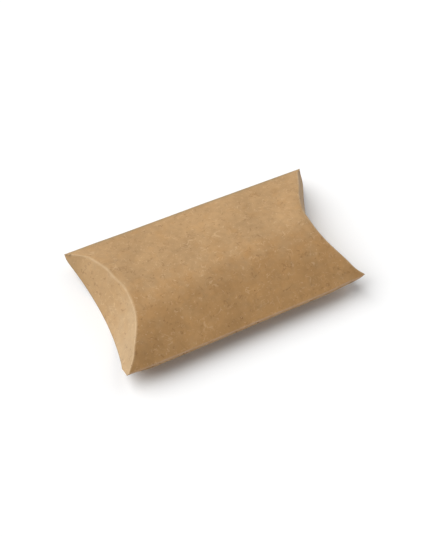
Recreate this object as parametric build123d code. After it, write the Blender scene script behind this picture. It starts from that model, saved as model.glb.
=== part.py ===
from build123d import *
import os
from math import atan2, cos, degrees, hypot, radians, sin, sqrt, tan

# Kraft board pillow box, closed, lying on its lower panel. Millimetres, +Z up.
# The origin is on the table under the middle of the box, X runs along its length,
# Y across it, and the two long side folds are at equal heights in front and behind.

# The box as a whole
length = 125.0              # between the points where the end creases would meet the side folds
width = 67.6                # across the box, between the sharp lines where both panels would meet
top_rise = 9.6              # crown of the upper panel above the side folds
bottom_rise = 9.6           # belly of the lower panel below the side folds
rest_flat_width = 8.0       # strip of the belly that lies flat on the table
board = 0.45                # thickness of the board
back_tip_blunt = 0.5        # what the corners of the back fold have lost
front_tip_blunt = 2.3       # what is trimmed off the corners at the seam
inner_tip_blunt = 2.3       # the same at the inner flaps' corners

# End creases and flaps
crease_inset = 15.6         # middle of an end crease, in from the corners
crease_bead = 0.9           # width of the scored band along an end crease
hinge_gap = 0.1             # clear line between a crease and its flap
outer_flap_reach = 20.8     # along the middle of the flap, from crease to free edge
inner_flap_reach = 15.5
inner_flap_lean = 10.0      # degrees from upright, into the box
flap_clearance = 0.3        # kept between the inner flap and what lies outside it

# Long folds and the glued seam, which runs along the front
fold_radius = 0.4           # outside radius of a long fold
fold_band = 1.7             # width of the folded strip along a long edge
cut_edge_setback = 0.45     # upper panel's cut edge, in from the front corner line
glue_flap_width = 11.0
glue_flap_setback = 4.0     # glue flap's ends, in from the crease at the glued edge
glue_flap_taper = 14.0      # degrees off square at the glue flap's ends
seam_gap = 0.1              # between the upper panel and the glue flap
glue_thickness = 0.08
glue_line_width = 7.0
glue_line_margin = 1.5      # bare board left at the ends of the glue line

# Cutting tools reach this far past what they cut
overrun = 40.0


def arc_radius(rise):
    """Radius of an arc that spans the box's width and rises by this much."""
    return (width * width / 4 + rise * rise) / (2 * rise)


top_radius = arc_radius(top_rise)
bottom_radius = arc_radius(bottom_rise)
# The flat strip takes this much off the belly, and the table is at zero
flat_depth = bottom_radius - sqrt(bottom_radius ** 2 - rest_flat_width ** 2 / 4)
fold_height = bottom_rise - flat_depth

# Flap directions in the plane across an end: first number inwards, second up.
# The outer flap is the upper panel's continuation mirrored in its crease plane,
# which is how a sheet folds along a curved crease.
outer_dip = 2 * atan2(top_rise, crease_inset)
outer_along = (-cos(outer_dip), -sin(outer_dip))
inner_along = (sin(radians(inner_flap_lean)), cos(radians(inner_flap_lean)))
top_crease_point = (crease_inset, top_rise)
bottom_crease_point = (crease_inset, -bottom_rise)


# Cross-section faces, drawn looking along the box
def panel_disc(rise, side, inward):
    """Disc under the upper panel (side 1) or over the lower one (side -1), this far inside its face."""
    radius = arc_radius(rise)
    centre_height = fold_height + side * (rise - radius)
    return Plane.YZ * Pos(0, centre_height) * Circle(radius - inward)


def above(height):
    """Everything in the cross-section above this height."""
    return Plane.YZ * Pos(0, height + overrun) * Rectangle(width + 2 * overrun, 2 * overrun)


def below(height):
    """Everything in the cross-section below this height."""
    return Plane.YZ * Pos(0, height - overrun) * Rectangle(width + 2 * overrun, 2 * overrun)


def between(start, end):
    """Band of the cross-section from one place across the box to another."""
    return Plane.YZ * Pos((start + end) / 2, fold_height) * Rectangle(end - start, 4 * overrun)


def lens(top_inward, bottom_inward):
    """Space between both panels, this far inside their outer faces, with its belly flat."""
    both = panel_disc(top_rise, 1, top_inward) & panel_disc(bottom_rise, -1, bottom_inward)
    return both & above(bottom_inward)


def rounded(section, direction):
    """The section with the fold at its back (1) or front (-1) tip rounded."""
    tip = section.vertices().sort_by(Axis.Y)[-1 if direction > 0 else 0]
    return fillet(tip, fold_radius)


# The board at the back is one thickness; at the front the upper panel covers the glue flap.
# A fold line is where the rounding of a long fold begins.
seam_inward = board + seam_gap
outline = rounded(lens(0, 0), 1)
cavity = lens(board, board)
tucked = rounded(lens(seam_inward, 0), -1)
tucked_cavity = lens(seam_inward + board, board)
front_fold_line = tucked.vertices().sort_by(Axis.Y)[0].Y
back_fold_line = outline.vertices().sort_by(Axis.Y)[-1].Y
front_band = front_fold_line + fold_band
back_band = back_fold_line - fold_band
cut_edge = -width / 2 + cut_edge_setback
glue_flap_edge = front_fold_line + glue_flap_width


def along_box(section):
    """The section made as long as the box."""
    return Pos(-length / 2, 0, 0) * extrude(section, amount=length, dir=(1, 0, 0))


# Surfaces that end the panels and flaps, at the box's left end.
# The ellipses are turned half round, so that the seam of each outline lies away from the box.
half_turn = Rot(0, 0, 180)


def inwards(pair):
    """A direction across an end, as a vector at the left end."""
    return Vector(pair[0], 0, pair[1])


def unit(pair):
    """The pair as a direction of length one."""
    size = hypot(*pair)
    return (pair[0] / size, pair[1] / size)


def across_end(point):
    """Plane through both corners and a point across the end; its normal is the plane's left side."""
    corner_line = Vector(-length / 2, 0, fold_height)
    along = unit(point)
    return Plane(corner_line, x_dir=inwards(along), z_dir=inwards((-along[1], along[0])))


def crease_cutter(point, growth):
    """Solid on the flap's side of an end crease; its side is square to the crease's plane.

    The crease lies in a plane, so it is part of an ellipse: the panel's arc, stretched."""
    rise = abs(point[1])
    stretch = hypot(*point) / rise
    radius = arc_radius(rise)
    centre = Pos((rise - radius) * stretch, 0) * half_turn
    face = across_end(point) * centre * Ellipse(radius * stretch + growth, radius + growth)
    return extrude(face, amount=overrun, both=True)


def flap_shell(crease_point, rise, along):
    """Board that carries on from an end crease in a straight direction, before its ends are cut."""
    inner_side = (-along[1], along[0])
    slope = inner_side[0] * crease_point[0] + inner_side[1] * crease_point[1]
    if slope < 0:
        inner_side = (along[1], -along[0])
    stretch = abs(slope) / rise
    radius = arc_radius(rise)
    corner_line = Vector(-length / 2, 0, fold_height)
    plane = Plane(corner_line, x_dir=inwards(inner_side), z_dir=inwards(along))
    centre = Pos((rise - radius) * stretch, 0) * half_turn
    whole = Ellipse(radius * stretch + board, radius + board)
    hollow = Ellipse(radius * stretch, radius)
    crown = Pos(overrun, 0) * Rectangle(2 * overrun, width)
    section = plane * ((centre * (whole - hollow)) & crown)
    return extrude(section, amount=overrun, both=True)


def flap(crease_point, along, reach):
    """A flap from its crease to its free edge, which lies in a plane through both corners."""
    shell = flap_shell(crease_point, abs(crease_point[1]), along)
    board_past_crease = shell & crease_cutter(crease_point, -hinge_gap / 2)
    end = (crease_point[0] + reach * along[0], crease_point[1] + reach * along[1])
    root_is_left = end[0] * crease_point[1] - end[1] * crease_point[0] > 0
    kept_side = Keep.TOP if root_is_left else Keep.BOTTOM
    return split(board_past_crease, bisect_by=across_end(end), keep=kept_side)


def blunt_corners(back=back_tip_blunt, front=front_tip_blunt):
    """Space that the box keeps once its corners are blunt and its belly rests on the table."""
    tall = top_rise + bottom_rise + 2 * overrun
    deep = width / 2 + overrun
    back_half = Pos(0, deep / 2, tall / 2) * Box(length - 2 * back, deep, tall)
    front_half = Pos(0, -deep / 2, tall / 2) * Box(length - 2 * front, deep, tall)
    return back_half + front_half


def both_ends(solid):
    """The same thing at the left end and at the right end."""
    return [solid, mirror(solid, about=Plane.YZ)]


# Flaps
def outer_flap():
    """Left outer flap: it hangs from the upper panel's crease and closes the end."""
    return flap(top_crease_point, outer_along, outer_flap_reach) & blunt_corners()


def inner_flap():
    """Left inner flap: it stands on the lower panel's crease, clear of the outer flap and the upper panel."""
    whole = flap(bottom_crease_point, inner_along, inner_flap_reach)
    room = along_box(lens(board + flap_clearance, 0))
    trimmed_flap = whole & blunt_corners(inner_tip_blunt, inner_tip_blunt) & room
    outside = flap_shell(top_crease_point, top_rise, outer_along)
    for shift in (0, flap_clearance):
        trimmed_flap = trimmed_flap - Pos(shift, 0, 0) * outside
    return trimmed_flap.solids().sort_by(SortBy.VOLUME)[-1]


# Panels, with everything that is cut by the same four end creases
def crease_sides(point):
    """Cutters at both ends: the clear line beside a crease, and the far side of its scored band."""
    return both_ends(crease_cutter(point, hinge_gap / 2)), both_ends(crease_cutter(point, crease_bead))


def trimmed(solid, cutters):
    """The solid with the end cutters taken off and its corners blunt."""
    for cutter in cutters:
        solid = solid - cutter
    return solid & blunt_corners()


def crease_band(panel_solid, clear, far):
    """Scored band of a panel between the clear line and the band's far side."""
    return (panel_solid - clear) & far & blunt_corners()


def top_sheet():
    """Upper panel with both its scored ends, from its cut front edge to the back fold."""
    section = outline - panel_disc(top_rise, 1, board)
    section = section & above(fold_height - board) & between(cut_edge, back_band)
    return along_box(section)


def bottom_sheet():
    """Lower panel with both its scored ends, from the front fold to the back fold."""
    section = (outline & tucked_front()) - cavity - tucked_cavity
    section = section & below(fold_height) & between(front_band, back_band)
    return along_box(section)


def tucked_front():
    """Cross-section without the upper panel's layer at the front."""
    return tucked + (outline & between(0, width))


def side_fold():
    """Back long fold, where the one sheet turns from the upper panel to the lower."""
    section = (outline - cavity) & between(back_band, width)
    return along_box(section)


def seam_fold():
    """Front long fold, where the sheet turns from the lower panel to the glue flap."""
    section = (tucked - tucked_cavity) & between(-width, front_band)
    return along_box(section)


def glue_flap():
    """Strip folded in under the upper panel's front edge, with its ends cut back."""
    section = (tucked - tucked_cavity) & above(fold_height) & between(front_band, glue_flap_edge)
    return along_box(section) & glue_flap_plan(0)


def glue_flap_plan(margin):
    """Space over the glue flap's outline, with its slanted ends moved in by this margin."""
    near = front_fold_line
    far = glue_flap_edge
    crease_here = crease_inset * height_share(near + fold_band)
    start = length / 2 - crease_here - glue_flap_setback - margin
    slant = glue_flap_width * tan(radians(glue_flap_taper))
    spread = crease_inset * (height_share(far) - height_share(near + fold_band))
    end = start - slant - spread
    corners = [(-start, near), (start, near), (end, far), (-end, far)]
    face = make_face(Polyline(*corners, close=True))
    return extrude(face, amount=fold_height + top_rise)


def height_share(place):
    """How high the upper panel's arc stands at this place across the box, as a share of its rise."""
    return (sqrt(top_radius ** 2 - place ** 2) - top_radius + top_rise) / top_rise


def glue_line():
    """Thin line of adhesive between the glue flap and the upper panel."""
    middle = (front_band + glue_flap_edge) / 2
    layer = panel_disc(top_rise, 1, board) - panel_disc(top_rise, 1, board + glue_thickness)
    section = layer & above(fold_height) & between(middle - glue_line_width / 2, middle + glue_line_width / 2)
    return along_box(section) & glue_flap_plan(glue_line_margin)


# The finished pieces
def build():
    """All pieces by node name."""
    top_clear, top_far = crease_sides(top_crease_point)
    bottom_clear, bottom_far = crease_sides(bottom_crease_point)
    upper = top_sheet()
    lower = bottom_sheet()
    pieces = {
        "top_panel": trimmed(upper, top_far),
        "bottom_panel": trimmed(lower, bottom_far),
        "side_fold": trimmed(side_fold(), top_clear + bottom_clear),
        "seam_fold": trimmed(seam_fold(), top_clear + bottom_clear),
        "glue_flap": glue_flap(),
        "glue_line": glue_line(),
    }
    outer = outer_flap()
    inner = inner_flap()
    for number, end in enumerate(("left", "right")):
        pieces[end + "_top_crease"] = crease_band(upper, top_clear[number], top_far[number])
        pieces[end + "_bottom_crease"] = crease_band(lower, bottom_clear[number], bottom_far[number])
        pieces[end + "_outer_flap"] = both_ends(outer)[number]
        pieces[end + "_inner_flap"] = both_ends(inner)[number]
    return pieces


os.makedirs("parts", exist_ok=True)
for node, piece in build().items():
    export_step(Compound(children=piece.solids()), os.path.join("parts", node + ".step"))

print("hinge line of the outer flaps", length / 2 - crease_inset, fold_height + top_rise)
print("hinge line of the inner flaps", length / 2 - crease_inset, fold_height - bottom_rise)
print("outer flap opens flat at", degrees(outer_dip))
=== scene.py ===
from math import acos, atan2, atanh, cos, cosh, exp, hypot, log, pi, radians, sin, sqrt, tan

import bmesh
import bpy
from mathutils import Matrix, Vector, noise
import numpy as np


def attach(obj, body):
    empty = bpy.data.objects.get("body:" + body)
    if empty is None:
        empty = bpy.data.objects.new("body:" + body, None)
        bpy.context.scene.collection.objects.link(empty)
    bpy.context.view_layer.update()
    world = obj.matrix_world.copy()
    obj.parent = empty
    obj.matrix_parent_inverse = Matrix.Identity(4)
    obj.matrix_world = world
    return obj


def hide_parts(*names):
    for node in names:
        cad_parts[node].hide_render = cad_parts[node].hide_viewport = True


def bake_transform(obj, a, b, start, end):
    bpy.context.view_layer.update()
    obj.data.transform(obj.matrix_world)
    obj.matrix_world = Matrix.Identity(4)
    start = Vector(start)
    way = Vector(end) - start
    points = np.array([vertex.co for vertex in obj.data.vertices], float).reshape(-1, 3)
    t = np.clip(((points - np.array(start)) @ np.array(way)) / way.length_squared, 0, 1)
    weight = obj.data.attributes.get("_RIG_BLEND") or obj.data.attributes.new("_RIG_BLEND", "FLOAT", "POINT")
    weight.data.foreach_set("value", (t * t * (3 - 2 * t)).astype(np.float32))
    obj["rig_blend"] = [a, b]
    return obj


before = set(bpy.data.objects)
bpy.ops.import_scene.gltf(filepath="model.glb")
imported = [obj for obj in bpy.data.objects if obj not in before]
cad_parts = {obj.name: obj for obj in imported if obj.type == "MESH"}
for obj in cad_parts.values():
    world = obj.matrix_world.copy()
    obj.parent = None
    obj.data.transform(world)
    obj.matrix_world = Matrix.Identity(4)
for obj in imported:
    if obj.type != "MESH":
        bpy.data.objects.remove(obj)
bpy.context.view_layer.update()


# Upper panel
# The bowed top of the box: brown kraft board 0.45 mm thick, uncoated, with its die-cut edge in front.
# It springs into its bow when the end flaps are pushed in, and runs on at the back into the side fold.
mm = 0.001
half_length = 62.5 * mm
half_width = 33.8 * mm
rise = 9.6 * mm
rest_strip = 8.0 * mm
board = 0.45 * mm
back_tip_blunt = 0.5 * mm
seam_tip_blunt = 2.3 * mm
crease_inset = 15.6 * mm
crease_band = 1.05 * mm
cut_edge_setback = 0.45 * mm
fold_round = 0.5 * mm
fold_band = 1.7 * mm

# The two flatter halves of the upper side and the bend between them
bend_place = -7.0 * mm
bend_width = 8.0 * mm
bend_skew = 0.07
bend_skew_start = -10.0 * mm
flattening = 0.85
flattening_fade = 14.0 * mm
fold_fade = 1.1 * mm

# Where an upper end crease strays: how far, around which place across the box, and its reach there
right_strays = ((0.4 * mm, 32.0 * mm, 2.5 * mm), (-1.0 * mm, 22.0 * mm, 6.0 * mm),
                (0.3 * mm, -4.0 * mm, 20.0 * mm), (0.45 * mm, 6.0 * mm, 3.0 * mm))
left_strays = ((1.3 * mm, 26.0 * mm, 5.0 * mm), (-0.9 * mm, 8.5 * mm, 4.5 * mm),
               (0.8 * mm, -13.0 * mm, 10.0 * mm))

# How far the seam's corners are drawn in, in front of which place across the box, and how softly that starts
both_pinches = (1.3 * mm, -26.0 * mm, 1.6 * mm)
right_pinch = (1.1 * mm, -27.0 * mm, 3.0 * mm)

# How far the seam's corners are bent back, from where along the box, and over what run
right_draws = ((0.6 * mm, 38.0 * mm, 12.0 * mm), (0.8 * mm, 56.5 * mm, 3.5 * mm))
left_draws = ((0.35 * mm, 50.0 * mm, 10.0 * mm),)
draw_start = 24.0 * mm
draw_run = 8.0 * mm

# How deep the upper panel rolls off beside its end creases, and how far in that reaches
right_roll = (0.42 * mm, 2.7 * mm)
left_roll = (0.22 * mm, 3.2 * mm)

# Unevenness from folding by hand: its size along the sheet and its depth, the same in every run
unevenness = ((30.0 * mm, 0.16 * mm), (9.0 * mm, 0.05 * mm))
table_fade = 2.0 * mm
noise.seed_set(1)

# What a vertex that is nowhere near a cut edge says about how far off it is
no_edge_near = 1.0

cut_tolerance = 0.0001 * mm
merge_distance = 0.004 * mm
sliver_length = 0.002 * mm

bow = (half_width ** 2 + rise ** 2) / (2 * rise)
belly_cut = bow - sqrt(bow ** 2 - rest_strip ** 2 / 4)
fold_height = rise - belly_cut
upper_centre = Vector((0, 0, fold_height + rise - bow))
lower_centre = Vector((0, 0, fold_height - rise + bow))


def share_of_rise(point):
    """How far a place on the bowed board stands above or below the long folds, from 0 to 1."""
    return min(1, abs(point.z - fold_height) / rise)


def line_end(point):
    """Where a line along the board meets its end crease, out from the middle of the box."""
    return half_length - crease_inset * share_of_rise(point)


def hump(place, middle, reach):
    """A smooth rise to 1 around a middle, which has faded out two reaches away."""
    return exp(-((place - middle) / reach) ** 2)


def eased(share):
    """From 0 to 1 with a soft start and end."""
    held = max(0, min(1, share))
    return held * held * (3 - 2 * held)


def pinched_in(end, point):
    """How far a seam corner is drawn in along the box, where all its layers were pinched together."""
    pinches = (both_pinches, right_pinch) if end > 0 else (both_pinches,)
    return sum(depth / (1 + exp((point.y - start) / softness)) for depth, start, softness in pinches)


def strayed(end, point):
    """How far an upper end crease strays inwards from its true curve, where it was bent by hand."""
    strays = right_strays if end > 0 else left_strays
    sags = sum(depth * hump(point.y, middle, reach) for depth, middle, reach in strays)
    return sags + pinched_in(end, point)


def fold_centre(upper_inset, side):
    """Middle of a long fold's rounding, which touches both panels; side is 1 at the back, -1 in front."""
    from_upper = bow - upper_inset - fold_round
    from_lower = bow - fold_round
    apart = lower_centre.z - upper_centre.z
    sums = lower_centre.z ** 2 - upper_centre.z ** 2
    height = (from_upper ** 2 - from_lower ** 2 + sums) / (2 * apart)
    across = sqrt(from_upper ** 2 - (height - upper_centre.z) ** 2)
    return Vector((0, side * across, height))


def turn_to(centre, point):
    """Angle from straight up, over the back, at which a point stands around a centre."""
    return atan2(point.y - centre.y, point.z - centre.z) % (2 * pi)


def turn_over(reach, across):
    """Angle from straight up at which an arc of this radius stands over a place across the box."""
    return atan2(across, sqrt(reach ** 2 - across ** 2))


def around(centre, reach, turn):
    return centre + reach * Vector((0, sin(turn), cos(turn)))


def points_in(geometry):
    return [part for part in geometry if isinstance(part, bmesh.types.BMVert)]


def drawn_line(start, runs):
    """Line that the board follows across the box: a point carried round one centre after another.

    The sheet that grows from it keeps, at each vertex, how far it is off its end crease and a cut edge."""
    bm = bmesh.new()
    bm.verts.layers.float.new("off crease")
    bm.verts.layers.float.new("off edge")
    tip = bm.verts.new(start)
    for centre, turn, steps in runs:
        run = bmesh.ops.spin(bm, geom=[tip], cent=centre, axis=(1, 0, 0), angle=-turn, steps=steps)
        tip = points_in(run["geom_last"])[0]
    return bm


def drawn_out(bm, rows, margin, upper=False):
    """The line drawn out along the box into a sheet, with its ends slid to this far from the end creases.

    The sheet is first drawn from -1 to 1, so a place along it is a share of the way to a crease."""
    bmesh.ops.translate(bm, verts=bm.verts[:], vec=(-1, 0, 0))
    grown = bmesh.ops.extrude_edge_only(bm, edges=bm.edges[:])
    bmesh.ops.translate(bm, verts=points_in(grown["geom"]), vec=(2, 0, 0))
    lengthwise = [edge for edge in bm.edges if abs(edge.verts[0].co.x - edge.verts[1].co.x) > 1]
    bmesh.ops.subdivide_edges(bm, edges=lengthwise, cuts=rows - 1)
    off_crease = bm.verts.layers.float["off crease"]
    off_edge = bm.verts.layers.float["off edge"]
    stray = strayed if upper else pinched_in
    for vert in bm.verts:
        vert[off_edge] = no_edge_near
        end = 1 if vert.co.x > 0 else -1
        crease = line_end(vert.co) - stray(end, vert.co) * abs(vert.co.x) ** 3
        vert.co.x *= crease - margin
        vert[off_crease] = crease - abs(vert.co.x)
        if upper:
            vert.co.z -= rolled_off(end, vert[off_crease], share_of_rise(vert.co))


def rolled_off(end, off_crease, share):
    """How much the upper panel drops as it nears an end crease, where the bend has drawn it down."""
    depth, reach = right_roll if end > 0 else left_roll
    return depth * share * max(0, 1 - max(0, off_crease) / reach) ** 2


def blunted(bm, back_blunt=back_tip_blunt, seam_blunt=seam_tip_blunt):
    """The sheet's corners cut off square to the box: a little at the back fold, more at the seam."""
    for side, blunt in ((1, back_blunt), (-1, seam_blunt)):
        for end in (-1, 1):
            faces = [face for face in bm.faces if face.calc_center_median().y * side > 0]
            outlines = dict.fromkeys(part for face in faces for part in face.verts[:] + face.edges[:])
            bmesh.ops.bisect_plane(bm, geom=list(outlines) + faces, dist=cut_tolerance, clear_outer=True,
                                   plane_co=(end * (half_length - blunt), 0, 0), plane_no=(end, 0, 0))
    bmesh.ops.remove_doubles(bm, verts=bm.verts[:], dist=merge_distance)
    bmesh.ops.dissolve_degenerate(bm, edges=bm.edges[:], dist=sliver_length)


def run_of_bend(from_bend):
    """How far the two flatter halves have turned down, this far from the middle of the bend between them."""
    return bend_width * log(cosh(from_bend / bend_width))


def two_halves(along, across):
    """Height over the long folds of an upper side with two flat halves and a soft bend.

    The bend runs a little askew in the left half of the box."""
    place = bend_place + bend_skew * min(0, along - bend_skew_start)
    back, front = run_of_bend(half_width - place), run_of_bend(-half_width - place)
    lean = (back - front) / (2 * half_width)
    crest = place + bend_width * atanh(lean)
    level = (back + front) / 2
    full = level + lean * crest - run_of_bend(crest - place)
    return (level + lean * across - run_of_bend(across - place)) * rise / full


def settled(bm):
    """The upper side's two flatter halves, which meet in a soft bend along the box.

    Board that was stored flat sets like that, and only near its creases is it held to its true bow."""
    for vert in bm.verts:
        height = vert.co.z - fold_height
        from_crease = line_end(vert.co) - abs(vert.co.x)
        if height > 0 and from_crease > 0:
            bowed = sqrt(bow ** 2 - vert.co.y ** 2) - bow + rise
            depth = flattening * (bowed - two_halves(vert.co.x, vert.co.y))
            vert.co.z -= depth * eased(from_crease / flattening_fade) * eased(height / fold_fade)


def drawn_back(bm):
    """The upper side's seam corners, bent a little back from the straight front edge."""
    for vert in bm.verts:
        draws = right_draws if vert.co.x > 0 else left_draws
        amount = sum(most * eased((abs(vert.co.x) - start) / run) for most, start, run in draws)
        vert.co.y += amount * eased((-vert.co.y - draw_start) / draw_run)


def handled(bm):
    """The slight unevenness of board that was folded by hand."""
    for vert in bm.verts:
        off_table = min(1, vert.co.z / table_fade)
        slow, quick = (noise.noise_vector(vert.co / size) * depth for size, depth in unevenness)
        vert.co += (slow + quick) * off_table


def thickened(bm, thickness, outward):
    """A sheet made into board: its own faces are the outer side, and its cut rim gets the second material."""
    bm.normal_update()
    facing = sum(face.normal.dot(outward(face.calc_center_median())) for face in bm.faces)
    if facing < 0:
        bmesh.ops.reverse_faces(bm, faces=bm.faces[:])
    skin = set(bm.faces)
    border = set(vert for edge in bm.edges if edge.is_boundary for vert in edge.verts)
    bmesh.ops.solidify(bm, geom=bm.faces[:], thickness=thickness)
    bm.normal_update()
    beside_skin = set(face for edge in bm.edges if skin & set(edge.link_faces) for face in edge.link_faces)
    rim = [face for face in beside_skin - skin if sum(vert in border for vert in face.verts) == 2]
    for face in rim:
        face.material_index = 1
    for face in bm.faces:
        face.smooth = face.material_index == 0
    for face in rim:
        for edge in face.edges:
            edge.smooth = False


def made_piece(bm, name, materials):
    """The finished sheet as an object, which stands where it was modelled."""
    mesh = bpy.data.meshes.new(name)
    bm.to_mesh(mesh)
    bm.free()
    piece = bpy.data.objects.new(name, mesh)
    bpy.context.scene.collection.objects.link(piece)
    for material in materials:
        mesh.materials.append(material)
    return piece


def away_from_core(point):
    """Outwards from the middle line of the box, which lies level with the long folds."""
    return Vector((0, point.y, point.z - fold_height))


def add(tree, kind, values=None, **settings):
    """A shader node with its settings, and its inputs set or linked by name or number."""
    node = tree.nodes.new(kind)
    for key, value in settings.items():
        setattr(node, key, value)
    for key, value in (values or {}).items():
        if isinstance(value, bpy.types.NodeSocket):
            tree.links.new(value, node.inputs[key])
        else:
            node.inputs[key].default_value = value
    return node


def new_group(name, inputs, outputs):
    """A shader node group with its sockets, and the sockets of its two end nodes."""
    group = bpy.data.node_groups.new(name, "ShaderNodeTree")
    for label, kind, value in inputs:
        socket = group.interface.new_socket(name=label, in_out="INPUT", socket_type=kind)
        if value is not None:
            socket.default_value = value
    for label, kind in outputs:
        group.interface.new_socket(name=label, in_out="OUTPUT", socket_type=kind)
    return group, group.nodes.new("NodeGroupInput").outputs, group.nodes.new("NodeGroupOutput").inputs


def step_up(tree, value, low, high):
    """0 below the low value, 1 above the high one, and smooth between."""
    return add(tree, "ShaderNodeMapRange", {0: value, 1: low, 2: high, 3: 0.0, 4: 1.0},
               interpolation_type="SMOOTHSTEP").outputs[0]


def step_down(tree, value, low, high):
    """1 below the low value, 0 above the high one, and smooth between."""
    return add(tree, "ShaderNodeMapRange", {0: value, 1: low, 2: high, 3: 1.0, 4: 0.0},
               interpolation_type="SMOOTHSTEP").outputs[0]


def ranged(tree, value, low, high, low_result, high_result):
    """The value's range carried over to another one, in a straight line."""
    values = {0: value, 1: low, 2: high, 3: low_result, 4: high_result}
    return add(tree, "ShaderNodeMapRange", values).outputs[0]


def maths(tree, operation, first, second=0.0, third=0.0, clamped=False):
    values = {0: first, 1: second, 2: third}
    return add(tree, "ShaderNodeMath", values, operation=operation, use_clamp=clamped).outputs[0]


def blended(tree, share, first, second):
    """The first colour where the share is 0, the second where it is 1."""
    return add(tree, "ShaderNodeMix", {0: share, 6: first, 7: second}, data_type="RGBA").outputs[2]


def moved(tree, place, by):
    return add(tree, "ShaderNodeVectorMath", {0: place, 1: by}, operation="ADD").outputs[0]


def cloudy(tree, place, size, detail=1.0, distortion=0.0, output=0):
    """Noise whose patches are about this big, in metres."""
    values = {"Vector": place, "Scale": 1 / size, "Detail": detail, "Distortion": distortion}
    return add(tree, "ShaderNodeTexNoise", values).outputs[output]


def off_middle(tree, value):
    """How far a noise is over or under its middle value."""
    return maths(tree, "SUBTRACT", value, 0.5)


# Each kind of fibre: where its noise starts, its size, how thin it is and the gate that breaks it up
long_fibre = ((0.11, 0.23, 0.05), 4.2 * mm, 0.030, 0.56)
short_fibre = ((0.31, 0.07, 0.17), 2.3 * mm, 0.045, 0.60)
fine_fibre = ((0.02, 0.41, 0.29), 1.1 * mm, 0.050, 0.57)
dark_fibre = ((0.19, 0.13, 0.37), 2.6 * mm, 0.060, 0.57)
fibre_curl = 0.5
gap_size_share = 1.1
gate_softness = 0.08


def fibre_lines(tree, place, shift, size, thinness, gate):
    """Short curved threads: thin lines of equal value in one noise, broken up by another."""
    field = cloudy(tree, moved(tree, place, shift), size, distortion=fibre_curl)
    line = step_down(tree, maths(tree, "ABSOLUTE", off_middle(tree, field)), 0.0, thinness)
    gaps = cloudy(tree, moved(tree, place, (shift[1], shift[0], shift[2])), size * gap_size_share)
    return maths(tree, "MULTIPLY", line, step_up(tree, gaps, gate, gate + gate_softness))


# Hue: where the painted front tone sets in across the box (painted shade on the board, painted sheen on the
# end walls), and the patches in which the two tones mix
painted_front_tone_range = (-20 * mm, 10 * mm)
hue_shift = (0.07, 0.03, 0.19)
hue_patch = 6.0 * mm
hue_swing = 1.8

# Tone: broad clouds, small patches, and flecks strewn off an even spacing
cloud_size = 17.0 * mm
patch_size = 3.2 * mm
patch_curl = 0.6
dark_fibre_gain = 1.3
fleck_spacing = 3.4 * mm
fleck_strewing = 0.9 * mm
fleck_strewing_size = 0.8 * mm
fleck_edge_shares = (0.05, 0.13)
fleck_choice = (0.88, 0.92)
fleck_strength = 0.6

# Surface: the tooth between the fibres, and the gloss of the patches
tooth_size = 0.28 * mm
patch_roughness = (0.50, 0.60)
patch_roughness_range = (0.3, 0.7)


def make_grain():
    """Pulp grain of kraft board: pale and dark fibres, specks of bark, mottled tone and hue, and a painted
    front tone towards the seam side.
    """
    group, given, out = new_group(
        "Kraft grain",
        [("Place", "NodeSocketVector", None), ("Board colour", "NodeSocketColor", None),
         ("Painted front tone and patch colour", "NodeSocketColor", None), ("Pale fibre colour", "NodeSocketColor", None),
         ("Speck colour", "NodeSocketColor", None), ("Fibre strength", "NodeSocketFloat", 0.5),
         ("Mottle strength", "NodeSocketFloat", 0.5)],
        [("Colour", "NodeSocketColor"), ("Relief", "NodeSocketFloat"), ("Roughness", "NodeSocketFloat")])
    place = given["Place"]
    long_fibres = fibre_lines(group, place, *long_fibre)
    short_fibres = fibre_lines(group, place, *short_fibre)
    fine_fibres = fibre_lines(group, place, *fine_fibre)
    dark_fibres = fibre_lines(group, place, *dark_fibre)
    pale = maths(group, "MAXIMUM", long_fibres, maths(group, "MAXIMUM", short_fibres, fine_fibres))

    across = add(group, "ShaderNodeSeparateXYZ", {0: place}).outputs[1]
    # Painted front tone: the seam side's colour sets in towards the front of the box
    painted_front_step = step_down(group, across, *painted_front_tone_range)
    hue = off_middle(group, cloudy(group, moved(group, place, hue_shift), hue_patch, 2.0))
    painted_front_and_patch_share = maths(group, "ADD", painted_front_step, maths(group, "MULTIPLY", hue, hue_swing), clamped=True)
    tinted = blended(group, painted_front_and_patch_share, given["Board colour"], given["Painted front tone and patch colour"])

    clouds = cloudy(group, place, cloud_size, 2.0)
    patches = cloudy(group, place, patch_size, 4.0, patch_curl)
    tone = maths(group, "ADD", off_middle(group, clouds), off_middle(group, patches))
    light = maths(group, "MULTIPLY_ADD", tone, given["Mottle strength"], 1.0)
    toned = add(group, "ShaderNodeVectorMath", {0: tinted, "Scale": light}, operation="SCALE").outputs[0]

    dark_share = maths(group, "MULTIPLY", dark_fibres,
                       maths(group, "MULTIPLY", given["Fibre strength"], dark_fibre_gain))
    with_dark = blended(group, dark_share, toned, given["Speck colour"])
    pale_share = maths(group, "MULTIPLY", pale, given["Fibre strength"])
    with_pale = blended(group, pale_share, with_dark, given["Pale fibre colour"])

    wandering = cloudy(group, place, fleck_strewing_size, output="Color")
    strewn = add(group, "ShaderNodeVectorMath", {0: wandering, 1: (fleck_strewing,) * 3, 2: place},
                 operation="MULTIPLY_ADD").outputs[0]
    cells = add(group, "ShaderNodeTexVoronoi", {"Vector": strewn, "Scale": 1 / fleck_spacing})
    chosen = add(group, "ShaderNodeSeparateColor", {0: cells.outputs["Color"]}).outputs[0]
    near = step_down(group, cells.outputs["Distance"], *fleck_edge_shares)
    fleck = maths(group, "MULTIPLY", near, step_up(group, chosen, *fleck_choice))
    fleck_share = maths(group, "MULTIPLY", fleck, fleck_strength)
    coloured = blended(group, fleck_share, with_pale, given["Speck colour"])

    tooth = cloudy(group, place, tooth_size, 2.0)
    relief = maths(group, "ADD", maths(group, "MULTIPLY", tooth, 0.5), maths(group, "MULTIPLY", pale, 0.5))
    rough = ranged(group, patches, *patch_roughness_range, *patch_roughness)
    group.links.new(coloured, out["Colour"])
    group.links.new(relief, out["Relief"])
    group.links.new(rough, out["Roughness"])
    return group


kraft_grain = make_grain()
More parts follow.
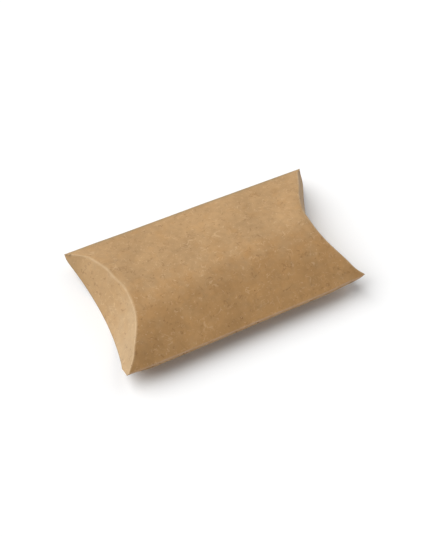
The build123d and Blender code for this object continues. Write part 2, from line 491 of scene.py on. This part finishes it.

# Along a crease or an edge: how finely its mark wavers, the stretches in which it fades, and the dark ticks
# along it
waver_size = 0.9 * mm
fading_size = 3.5 * mm
fading_range = (0.3, 0.6)
least_mark_share = 0.55
tick_size = 1.1 * mm
tick_choice = (0.66, 0.74)
tick_reach = (0.1 * mm, 0.3 * mm)


def make_crease_mark():
    """How near a place is to a crease, with small dark ticks along it."""
    group, given, out = new_group(
        "Crease mark",
        [("Place", "NodeSocketVector", None), ("Off crease", "NodeSocketFloat", 1.0),
         ("Spread", "NodeSocketFloat", 0.5 * mm), ("Raggedness", "NodeSocketFloat", 0.4 * mm)],
        [("Mark", "NodeSocketFloat"), ("Dark ticks", "NodeSocketFloat")])
    waver = off_middle(group, cloudy(group, given["Place"], waver_size, 2.0))
    ragged = maths(group, "MULTIPLY_ADD", waver, given["Raggedness"], given["Off crease"])
    mark = step_down(group, ragged, 0.0, given["Spread"])
    stretches = cloudy(group, given["Place"], fading_size)
    fading = ranged(group, stretches, *fading_range, least_mark_share, 1.0)
    beads = step_up(group, cloudy(group, given["Place"], tick_size), *tick_choice)
    dark_ticks = maths(group, "MULTIPLY", beads, step_down(group, given["Off crease"], *tick_reach))
    group.links.new(maths(group, "MULTIPLY", mark, fading), out["Mark"])
    group.links.new(dark_ticks, out["Dark ticks"])
    return group


crease_mark = make_crease_mark()


def srgb(red, green, blue):
    """A colour as it looks on a screen, from 0 to 255, made linear."""
    def linear(value):
        share = value / 255
        return share / 12.92 if share <= 0.04045 else ((share + 0.055) / 1.055) ** 2.4
    return (linear(red), linear(green), linear(blue), 1.0)


# The board's back tone and the browner tone towards its seam side, which is painted shade, its fibres and
# flecks, its paler skin where it was creased, partly a painted highlight, a band of painted shade by the
# flaps' free edges, and the crushed skin by the front cut edge
back_brown = srgb(176, 142, 101)
# Browner and darker: painted shade of the board's front half, and the second tone of its random hue patches
painted_front_shade_and_patch_brown = srgb(175, 135, 88)
pale_fibre_brown = srgb(222, 190, 150)
speck_brown = srgb(120, 84, 52)
# Paler along the end creases: partly the stretched skin, partly a painted highlight on the crease's rounding
crease_skin_and_highlight_brown = srgb(204, 178, 142)
# A grey band along the flaps' free edges: painted shade
painted_shade_edge = srgb(146, 132, 102)
crushed_edge = srgb(190, 162, 138)
edge_spread = 0.8 * mm
grain_depth = 0.06 * mm
grain_strength = 0.35
board_gloss = 0.2


def new_material(name):
    """An empty node material: the material, its tree and the place on the object."""
    material = bpy.data.materials.new(name)
    material.use_nodes = True
    tree = material.node_tree
    tree.nodes.clear()
    return material, tree, add(tree, "ShaderNodeTexCoord").outputs["Object"]


def finished(material, colour, roughness, relief, gloss):
    """The material with its surface: a matt or glossy body with this colour and relief."""
    tree = material.node_tree
    bump = add(tree, "ShaderNodeBump", relief)
    surface = add(tree, "ShaderNodeBsdfPrincipled", {"Base Color": colour, "Roughness": roughness,
                                                     "Normal": bump.outputs[0], "Specular IOR Level": gloss})
    add(tree, "ShaderNodeOutputMaterial", {"Surface": surface.outputs[0]})
    return material


def kraft(name, board_colour=back_brown, painted_front_and_patch_colour=painted_front_shade_and_patch_brown, crease_colour=crease_skin_and_highlight_brown,
          mark_strength=0.5, spread=1.1 * mm, edge_colour=painted_shade_edge, edge_strength=0.9,
          fibre_strength=0.285, mottle=0.38):
    """A face of the board: its grain, a mark along its creases (paler skin that is partly a painted
    highlight, or painted shade along the back fold) with dark ticks in it, and a band of the edge colour by a
    cut edge.

    The tone of the sheet turns browner towards its seam side: painted shade on the board's front half, which
    faces away from the lamps, and painted sheen and light on the end walls."""
    material, tree, place = new_material(name)
    grain = add(tree, "ShaderNodeGroup", node_tree=kraft_grain)
    tree.links.new(place, grain.inputs["Place"])
    grain.inputs["Board colour"].default_value = board_colour
    grain.inputs["Painted front tone and patch colour"].default_value = painted_front_and_patch_colour
    grain.inputs["Pale fibre colour"].default_value = pale_fibre_brown
    grain.inputs["Speck colour"].default_value = speck_brown
    grain.inputs["Fibre strength"].default_value = fibre_strength
    grain.inputs["Mottle strength"].default_value = mottle

    def mark_along(attribute, width):
        mark = add(tree, "ShaderNodeGroup", node_tree=crease_mark)
        distance = add(tree, "ShaderNodeAttribute", attribute_name=attribute).outputs["Fac"]
        tree.links.new(place, mark.inputs["Place"])
        tree.links.new(distance, mark.inputs["Off crease"])
        mark.inputs["Spread"].default_value = width
        return mark.outputs

    along_crease = mark_along("off crease", spread)
    # The mark along the creases: paler skin and painted highlight on the end creases, painted shade on the
    # back fold
    crease_mark_share = maths(tree, "MULTIPLY", along_crease["Mark"], mark_strength)
    with_crease_mark = blended(tree, crease_mark_share, grain.outputs["Colour"], crease_colour)
    # Small dark ticks along the crease, in the speck colour
    with_dark_ticks = blended(tree, along_crease["Dark ticks"], with_crease_mark, speck_brown)
    # A band of the edge colour by a cut edge: pale crushed skin on the upper panel's front edge, painted
    # shade along the flaps' free edges
    edge_band_share = maths(tree, "MULTIPLY", mark_along("off edge", edge_spread)["Mark"], edge_strength)
    with_edge_band = blended(tree, edge_band_share, with_dark_ticks, edge_colour)
    relief = {"Height": grain.outputs["Relief"], "Strength": grain_strength, "Distance": grain_depth}
    return finished(material, with_edge_band, grain.outputs["Roughness"], relief, board_gloss)


outside_face = kraft("Kraft outside", edge_colour=crushed_edge, edge_strength=0.8)


# Along the cut edge: layers of pulp, stretched along the board and thin through it, and the nicks in them
layer_stretch = (0.25, 0.25, 2.5)
layer_size = 0.5 * mm
layer_depth = 0.08 * mm
layer_strength = 0.6
layer_contrast = (0.35, 0.65)
nick_size = 1.3 * mm
nick_choice = (0.58, 0.72)
edge_roughness = 0.95


def cut_edge(name, colour, dark):
    """The die-cut edge of the board, where its layers of pulp show as fine streaks, with painted shade
    between them and in its nicks.
    """
    material, tree, place = new_material(name)
    along_layers = add(tree, "ShaderNodeVectorMath", {0: place, 1: layer_stretch}, operation="MULTIPLY")
    streaks = cloudy(tree, along_layers.outputs[0], layer_size, 3.0)
    nicks = cloudy(tree, place, nick_size, 2.0)
    mixed = blended(tree, step_up(tree, streaks, *layer_contrast), dark, colour)
    with_shaded_nicks = blended(tree, step_up(tree, nicks, *nick_choice), mixed, dark)
    relief = {"Height": streaks, "Strength": layer_strength, "Distance": layer_depth}
    return finished(material, with_shaded_nicks, edge_roughness, relief, board_gloss)


cut_pulp_brown = srgb(206, 176, 138)
cut_shadow_brown = srgb(150, 122, 90)
raw_edge = cut_edge("Kraft cut edge", cut_pulp_brown, cut_shadow_brown)

upper_rows = 150
upper_columns = 96
front_edge = -half_width + cut_edge_setback
front_edge_turn = turn_over(bow, front_edge)
side_fold_centre = fold_centre(0, 1)
back_line = turn_to(upper_centre, side_fold_centre)
fold_line_back = around(upper_centre, bow, back_line).y
back_band_turn = turn_over(bow, fold_line_back - fold_band)

# A narrow first row along the cut edge keeps its small raggedness out of the panel
lip_turn = 0.4 * mm / bow
ragged_row = 0.1 * mm
ragged_depth = 0.12 * mm
ragged_length = 1.6 * mm

upper_runs = [(upper_centre, lip_turn, 1),
              (upper_centre, back_band_turn - front_edge_turn - lip_turn, upper_columns)]
sheet = drawn_line(around(upper_centre, bow, front_edge_turn), upper_runs)
drawn_out(sheet, upper_rows, crease_band, upper=True)
off_edge = sheet.verts.layers.float["off edge"]
for vert in sheet.verts:
    vert[off_edge] = vert.co.y - front_edge
    if vert[off_edge] < ragged_row:
        vert.co.y += ragged_depth * noise.noise(Vector((vert.co.x / ragged_length, 0, 0)))
settled(sheet)
blunted(sheet)
drawn_back(sheet)
handled(sheet)
thickened(sheet, board, away_from_core)
upper_panel = made_piece(sheet, "upper_panel_board", [outside_face, raw_edge])
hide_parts("top_panel")
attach(upper_panel, "sleeve")


# Side fold
# The long crease at the back, where the one sheet turns from the upper panel to the lower.
# It was scored flat and then bent sharply, so its outside is tight and slightly rounded.
long_rows = 60
band_steps = 3
fold_steps = 10
# A grey mark along the back fold's outermost line: painted shade on the fold's rounding
painted_shade_fold_grey = srgb(142, 134, 108)


def off_fold(bm, height):
    """The crease distance of a long fold's skin, from its outermost line."""
    off_crease = bm.verts.layers.float["off crease"]
    for vert in bm.verts:
        vert[off_crease] = abs(vert.co.z - height)


lower_line_back = pi - back_line
lower_band_turn = pi - back_band_turn
sheet = drawn_line(around(upper_centre, bow, back_band_turn),
                   [(upper_centre, back_line - back_band_turn, band_steps),
                    (side_fold_centre, lower_line_back - back_line, fold_steps),
                    (lower_centre, lower_band_turn - lower_line_back, band_steps)])
drawn_out(sheet, long_rows, 0)
off_fold(sheet, side_fold_centre.z)
settled(sheet)
handled(sheet)
blunted(sheet)
thickened(sheet, board, away_from_core)
# The back fold's crease mark is the painted shade, strong and wide
back_fold_face = kraft("Kraft back fold", crease_colour=painted_shade_fold_grey, mark_strength=0.95, spread=1.3 * mm)
side_fold = made_piece(sheet, "side_fold_board", [back_fold_face, raw_edge])
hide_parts("side_fold")
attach(side_fold, "sleeve")


# Lower panel
# The bowed underside, which lies on the table along a narrow strip and is hardly seen.
# It is the same board, joined to the upper panel by the side fold at the back.
seam_gap = 0.1 * mm
seam_inset = board + seam_gap


def rested(bm):
    """The belly pressed flat where it lies on the table."""
    for vert in bm.verts:
        vert.co.z = max(vert.co.z, 0)


seam_fold_centre = fold_centre(seam_inset, -1)
lower_line_front = turn_to(lower_centre, seam_fold_centre)
fold_line_front = around(lower_centre, bow, lower_line_front).y
front_band_turn = pi - turn_over(bow, fold_line_front + fold_band)
lower_runs = [(lower_centre, front_band_turn - lower_band_turn, upper_columns)]
sheet = drawn_line(around(lower_centre, bow, lower_band_turn), lower_runs)
drawn_out(sheet, long_rows, crease_band)
rested(sheet)
blunted(sheet)
drawn_back(sheet)
handled(sheet)
thickened(sheet, board, away_from_core)
lower_panel = made_piece(sheet, "lower_panel_board", [outside_face, raw_edge])
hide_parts("bottom_panel")
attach(lower_panel, "sleeve")


# Seam fold
# The long crease in front, where the sheet turns from the lower panel to the glue flap.
# The upper panel's cut edge stands just over it, so only a thin line of it shows, under that edge.
seam_fold_margin = 1.3 * mm
seam_fold_blunt = 2.9 * mm
seam_mark_rise = 0.3 * mm
seam_lip = 1.0 * mm
seam_lip_half_height = 1.0 * mm
seam_lip_fade = 14.0 * mm
upper_line_front = turn_to(upper_centre, seam_fold_centre)
glue_band_turn = turn_over(bow - seam_inset, fold_line_front + fold_band) + 2 * pi
sheet = drawn_line(around(lower_centre, bow, front_band_turn),
                   [(lower_centre, lower_line_front - front_band_turn, band_steps),
                    (seam_fold_centre, upper_line_front - lower_line_front, fold_steps),
                    (upper_centre, glue_band_turn - upper_line_front, band_steps)])
drawn_out(sheet, long_rows, seam_fold_margin)
off_fold(sheet, seam_fold_centre.z + seam_mark_rise)
for vert in sheet.verts:
    near_fold = eased(1 - abs(vert.co.z - seam_fold_centre.z) / seam_lip_half_height)
    vert.co.y -= seam_lip * near_fold * eased((half_length - abs(vert.co.x)) / seam_lip_fade)
settled(sheet)
blunted(sheet, seam_blunt=seam_fold_blunt)
drawn_back(sheet)
handled(sheet)
thickened(sheet, board, away_from_core)
seam_fold = made_piece(sheet, "seam_fold_board", [outside_face, raw_edge])
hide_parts("seam_fold")
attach(seam_fold, "sleeve")


# Upper end creases
# Each end of the upper panel is scored along a curve, where the board turns down into the outer flap.
# The rule has pressed it and the bend has stretched its skin, so it is rounded and a little paler; the pale
# mark along it is partly a painted highlight.
outer_round = 0.9 * mm
inner_round = 0.6 * mm
outer_dip = 2 * atan2(rise, crease_inset)
inner_turn = radians(100.0)
outer_bend_steps = 12
band_middle_share = 0.7
crease_face = kraft("Kraft crease")

# The right outer flap's free edge: how far it is pushed in, where across the box that ends and over what run,
# and where the edge stands out again; then how far the left one stands out
right_tuck = 2.6 * mm
right_tuck_end = 6.0 * mm
right_tuck_run = 18.0 * mm
right_bulge = (0.9 * mm, 27.0 * mm, 4.5 * mm)
left_stands_out = 0.65 * mm
tuck_curve = 1.5
tuck_spread = 4.0
flap_edge_rim = 0.2 * mm


def bend_station(turn, radius, part):
    """A place in the rounding of a crease, from its panel side (0) to its flap side (1)."""
    tangent = radius * tan(turn / 2)
    lean = turn * part
    return (tangent - radius * sin(lean), radius * (cos(lean) - 1)), (0, 0), 0


def bend_half(turn, radius, steps, first):
    """The stations of half a crease's rounding: the panel's half from step 0, the flap's from the middle."""
    return [bend_station(turn, radius, step / steps) for step in range(first, first + steps // 2 + 1)]


def flap_station(turn, radius, reach, part):
    """A place down a flap, from the crease's rounding (0) to the free edge (1)."""
    tangent = radius * tan(turn / 2) * (1 - part)
    along = (-cos(turn), -sin(turn))
    return (tangent * along[0], tangent * along[1]), (part * reach * along[0], part * reach * along[1]), part


def tucked_in(end, point):
    """How far an outer flap's free edge is pushed in past its true place; below 0 it stands out."""
    if end < 0:
        return -left_stands_out
    depth, middle, reach = right_bulge
    tuck = right_tuck * (1 - eased((point.y - right_tuck_end) / right_tuck_run))
    return tuck - depth * hump(point.y, middle, reach)


def strip_along(line, stations, end, upper):
    """Board beside an end crease: the line across the box carried from station to station.

    A station is an offset inwards and away from the panel, a second one that grows with the bow, and how
    far it is down the flap. While the strip grows, a vertex's place along X is the number of its station.
    An outer flap's free edge doesn't stray with its crease, but is tucked in by hand."""
    row = line.edges[:]
    for _ in stations[1:]:
        grown = bmesh.ops.extrude_edge_only(line, edges=row)["geom"]
        row = [part for part in grown if isinstance(part, bmesh.types.BMEdge)]
        bmesh.ops.translate(line, verts=points_in(grown), vec=(1, 0, 0))
    turn, radius = (outer_dip, outer_round) if upper else (inner_turn, inner_round)
    middle = bend_station(turn, radius, 0.5)[0]
    off_crease = line.verts.layers.float["off crease"]
    off_edge = line.verts.layers.float["off edge"]
    for vert in line.verts:
        fixed, growing, part = stations[round(vert.co.x)]
        share = share_of_rise(vert.co)
        inward = fixed[0] + share * growing[0]
        upward = fixed[1] + share * growing[1]
        vert[off_crease] = hypot(inward - middle[0], upward - middle[1])
        vert[off_edge] = no_edge_near
        if part:
            vert[off_edge] = flap_edge_rim + hypot(growing[0], growing[1]) * (1 - part) / part * share
        drop = 0
        if upper:
            drop = rolled_off(end, inward, share)
            inward += strayed(end, vert.co) * (1 - part)
            inward += tucked_in(end, vert.co) * part ** tuck_curve * min(1, tuck_spread * share)
            if end > 0:
                inward += pinched_in(end, vert.co) * part
        else:
            inward += pinched_in(end, vert.co)
        vert.co.x = end * (line_end(vert.co) - inward)
        vert.co.z += upward * (1 if upper else -1) - drop


ends = (("left", -1), ("right", 1))
band = [((crease_band, 0), (0, 0), 0), ((crease_band * band_middle_share, 0), (0, 0), 0)]
for label, end in ends:
    line = drawn_line(around(upper_centre, bow, front_edge_turn), upper_runs)
    strip_along(line, band + bend_half(outer_dip, outer_round, outer_bend_steps, 0), end, upper=True)
    blunted(line)
    drawn_back(line)
    handled(line)
    thickened(line, board, away_from_core)
    crease = made_piece(line, label + "_upper_crease_board", [crease_face, raw_edge])
    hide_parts(label + "_top_crease")
    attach(crease, "sleeve")


# Outer flaps
# The end walls: each hangs from its crease as the upper panel's own continuation, mirrored in the curve's
# plane, which is what makes it bow inwards. Its lower edge is cut and stands just off the table.
outer_reach = 20.8 * mm
flap_columns = 90
flap_rows = 26
left_flap_blunt = 1.3 * mm
bend_depth = 3.2 * mm
# The end walls' tones are paler than the rest of the board's, and paler again towards the seam side: painted
# sheen and painted light, not the board's own colour
painted_sheen_end_wall_brown = srgb(182, 148, 106)
painted_sheen_end_wall_front_brown = srgb(184, 155, 118)
sheen_painted_end_wall = kraft("Kraft wall face with painted sheen", painted_sheen_end_wall_brown, painted_sheen_end_wall_front_brown, mottle=0.26)

# A flap starts where the bow has this share of its rise, so that its tips don't run out to nothing
corner_share = 0.05
corner_turn = acos((bow - rise + corner_share * rise) / bow)


def flap_stations(turn, radius, steps, reach):
    """The stations of a flap, from the middle of its crease's rounding to its free edge."""
    down = [flap_station(turn, radius, reach, row / flap_rows) for row in range(1, flap_rows + 1)]
    return bend_half(turn, radius, steps, steps // 2) + down


for label, end in ends:
    line = drawn_line(around(upper_centre, bow, -corner_turn),
                      [(upper_centre, 2 * corner_turn, flap_columns)])
    strip_along(line, flap_stations(outer_dip, outer_round, outer_bend_steps, outer_reach), end, upper=True)
    blunted(line, seam_blunt=left_flap_blunt if end < 0 else seam_tip_blunt)
    drawn_back(line)
    handled(line)
    facing = Vector((end * sin(outer_dip), 0, cos(outer_dip)))
    thickened(line, board, lambda point: facing)
    flap = made_piece(line, label + "_outer_flap_board", [sheen_painted_end_wall, raw_edge])
    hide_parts(label + "_outer_flap")
    hinge = Vector((end * (half_length - crease_inset), 0, fold_height + rise))
    into_flap = Vector((-end * rise, 0, -crease_inset)).normalized()
    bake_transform(flap, "sleeve", label + "_outer", hinge, hinge + bend_depth * into_flap)


# Lower end creases
# The same scored curves at the ends of the lower panel, where the board turns up into the inner flaps.
hidden_tip_blunt = 3.8 * mm
inner_bend_steps = 16
for label, end in ends:
    line = drawn_line(around(lower_centre, bow, lower_band_turn), lower_runs)
    strip_along(line, band + bend_half(inner_turn, inner_round, inner_bend_steps, 0), end, upper=False)
    rested(line)
    blunted(line, hidden_tip_blunt, hidden_tip_blunt)
    drawn_back(line)
    handled(line)
    thickened(line, board, away_from_core)
    crease = made_piece(line, label + "_lower_crease_board", [crease_face, raw_edge])
    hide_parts(label + "_bottom_crease")
    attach(crease, "sleeve")


# Inner flaps
# The first flaps to be folded in, behind the outer ones. Each stands on its crease, leaning a little
# inwards, and its corners pass just under the upper panel.
inner_reach = 15.5 * mm
inner_clearance = 0.3 * mm
tucked_face = kraft("Kraft tucked")
for label, end in ends:
    line = drawn_line(around(lower_centre, bow, pi - corner_turn),
                      [(lower_centre, 2 * corner_turn, flap_columns)])
    stations = flap_stations(inner_turn, inner_round, inner_bend_steps, inner_reach)
    strip_along(line, stations, end, upper=False)
    rested(line)
    for vert in line.verts:
        ceiling = upper_centre.z + sqrt((bow - board - inner_clearance) ** 2 - vert.co.y ** 2)
        vert.co.z = min(vert.co.z, ceiling)
    blunted(line, hidden_tip_blunt, hidden_tip_blunt)
    drawn_back(line)
    handled(line)
    facing = Vector((end * sin(inner_turn), 0, -cos(inner_turn)))
    thickened(line, board, lambda point: facing)
    flap = made_piece(line, label + "_inner_flap_board", [tucked_face, raw_edge])
    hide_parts(label + "_inner_flap")
    hinge = Vector((end * (half_length - crease_inset), 0, fold_height - rise))
    into_flap = Vector((-end * rise, 0, crease_inset)).normalized()
    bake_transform(flap, "sleeve", label + "_inner", hinge, hinge + bend_depth * into_flap)


# Glue flap
# The strip turned in from the seam fold and glued under the upper panel's front edge.
# Its ends are cut back and slanted, so that it clears the end creases.
glue_flap_width = 11.0 * mm
glue_flap_setback = 4.0 * mm
glue_flap_taper = radians(14.0)
glue_flap_columns = 14


def slanted_ends(bm, margin):
    """The glue flap's ends cut off on a slant, this much further in than the flap's own."""
    start = line_end(around(upper_centre, bow, glue_band_turn)) - glue_flap_setback
    slant = tan(glue_flap_taper) + crease_inset / rise * half_width / bow
    for end in (-1, 1):
        corner = (end * (start - margin), fold_line_front + fold_band, 0)
        everything = bm.verts[:] + bm.edges[:] + bm.faces[:]
        bmesh.ops.bisect_plane(bm, geom=everything, dist=cut_tolerance, clear_outer=True,
                               plane_co=corner, plane_no=(end, slant, 0))


flap_far_edge = fold_line_front + glue_flap_width
glue_far_turn = turn_over(bow - seam_inset, flap_far_edge) + 2 * pi
sheet = drawn_line(around(upper_centre, bow - seam_inset, glue_band_turn),
                   [(upper_centre, glue_far_turn - glue_band_turn, glue_flap_columns)])
drawn_out(sheet, long_rows, 0)
slanted_ends(sheet, 0)
settled(sheet)
handled(sheet)
thickened(sheet, board, away_from_core)
glue_flap = made_piece(sheet, "glue_flap_board", [tucked_face, raw_edge])
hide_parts("glue_flap")
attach(glue_flap, "sleeve")


# Glue line
# Dried carton glue between the glue flap and the upper panel.
# It is a thin, slightly yellow film, laid on by a nozzle, so its edges are beaded.
glue_thickness = 0.08 * mm
glue_line_width = 7.0 * mm
glue_margin = 1.5 * mm
glue_rows = 110
glue_columns = 12
glue_bead = 0.5 * mm
glue_bead_length = 4.0 * mm
glue_body_share = 0.9
glue_amber = srgb(196, 176, 134)
glue_cream = srgb(232, 222, 192)
swirl_size = 2.2 * mm
swirl_curl = 1.2
glue_roughness = (0.30, 0.50)
glue_roughness_range = (0.3, 0.7)
glue_depth = 0.05 * mm
glue_strength = 0.5
glue_gloss = 0.5


def dried_glue():
    """A dried film of water-based glue: cloudy, and glossier in some patches than in others."""
    material, tree, place = new_material("Dried glue")
    swirls = cloudy(tree, place, swirl_size, 3.0, swirl_curl)
    colour = blended(tree, swirls, glue_amber, glue_cream)
    roughness = ranged(tree, swirls, *glue_roughness_range, *glue_roughness)
    relief = {"Height": swirls, "Strength": glue_strength, "Distance": glue_depth}
    return finished(material, colour, roughness, relief, glue_gloss)


glue_reach = bow - board
glue_middle = (fold_line_front + fold_band + flap_far_edge) / 2
glue_front_turn = turn_over(glue_reach, glue_middle - glue_line_width / 2)
glue_back_turn = turn_over(glue_reach, glue_middle + glue_line_width / 2)
sheet = drawn_line(around(upper_centre, glue_reach, glue_front_turn),
                   [(upper_centre, glue_back_turn - glue_front_turn, glue_columns)])
drawn_out(sheet, glue_rows, 0)
slanted_ends(sheet, glue_margin)
for vert in sheet.verts:
    across = vert.co.y - glue_middle
    if abs(across) > glue_body_share * glue_line_width / 2:
        side = 1 if across > 0 else -1
        vert.co.y -= side * glue_bead * noise.noise(Vector((vert.co.x / glue_bead_length, across, 0)))
settled(sheet)
handled(sheet)
thickened(sheet, glue_thickness, away_from_core)
glue_line = made_piece(sheet, "glue_line_film", [dried_glue()])
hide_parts("glue_line")
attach(glue_line, "sleeve")


# Floor, light and view
# A plain white table top, a broad soft lamp above the back left, a weaker one at the right and a faint one
# in front, in a dim white room. The camera stands where the photograph's did.
table_half_size = 1.5
table_clearance = 0.02 * mm
table_white = srgb(255, 255, 255)
table_glow = srgb(250, 250, 250)
room_white = (1.0, 1.0, 1.0, 1.0)
room_light = 0.15
floor = bmesh.new()
bmesh.ops.create_grid(floor, x_segments=1, y_segments=1, size=table_half_size)
bmesh.ops.translate(floor, verts=floor.verts[:], vec=(0, 0, -table_clearance))
table_top = bpy.data.materials.new("Table top")
table_top.use_nodes = True
tree = table_top.node_tree
tree.nodes.clear()
seen = add(tree, "ShaderNodeLightPath").outputs["Is Camera Ray"]
tint = blended(tree, seen, table_glow, table_white)
paint = add(tree, "ShaderNodeBsdfDiffuse", {"Color": tint})
add(tree, "ShaderNodeOutputMaterial", {"Surface": paint.outputs[0]})
table = made_piece(floor, "table_top", [table_top])

world = bpy.data.worlds.new("Soft room")
bpy.context.scene.world = world
world.use_nodes = True
room = world.node_tree.nodes["Background"].inputs
room[0].default_value = room_white
room[1].default_value = room_light


def soft_lamp(name, energy, spread, bearing, height):
    """A broad lamp far away: its bearing is counted from +X towards +Y, and its height from the table."""
    light = bpy.data.lights.new(name, "SUN")
    light.energy = energy
    light.angle = radians(spread)
    lamp = bpy.data.objects.new(name, light)
    turn, lift = radians(bearing), radians(height)
    towards = Vector((cos(turn) * cos(lift), sin(turn) * cos(lift), sin(lift)))
    lamp.rotation_euler = towards.to_track_quat("Z", "Y").to_euler()
    bpy.context.scene.collection.objects.link(lamp)


soft_lamp("Main lamp", energy=3.3, spread=62, bearing=141, height=46)
soft_lamp("Side lamp", energy=0.75, spread=60, bearing=15, height=32)
soft_lamp("Front lamp", energy=0.15, spread=60, bearing=300, height=40)

# The view, fitted to the photograph: angles in radians, distances as shares of the box's length
view_azimuth = -0.64596
view_elevation = 1.01557
view_roll = 0.19697
view_distance_share = 3.37007
view_right_share = 0.00727
view_up_share = 0.01306
focal_length_px = 921.52
frame_height_px = 537
sensor_width = 36
near_clip = 10 * mm
box_length = 2 * half_length
backwards = Vector((sin(view_azimuth) * cos(view_elevation), -cos(view_azimuth) * cos(view_elevation),
                    sin(view_elevation)))
level_right = Vector((cos(view_azimuth), sin(view_azimuth), 0))
level_up = backwards.cross(level_right)
right = cos(view_roll) * level_right + sin(view_roll) * level_up
up = cos(view_roll) * level_up - sin(view_roll) * level_right
camera_data = bpy.data.cameras.new("View")
camera_data.sensor_width = sensor_width
camera_data.lens = focal_length_px * sensor_width / frame_height_px
camera_data.clip_start = near_clip
camera = bpy.data.objects.new("View", camera_data)
turned = Matrix((right, up, backwards)).transposed().to_4x4()
off_middle_of_box = view_distance_share * backwards - view_right_share * right - view_up_share * up
stand = box_length * off_middle_of_box + Vector((0, 0, fold_height))
camera.matrix_world = Matrix.Translation(stand) @ turned
bpy.context.scene.collection.objects.link(camera)
bpy.context.scene.camera = camera
bpy.context.scene.view_settings.view_transform = "Standard"
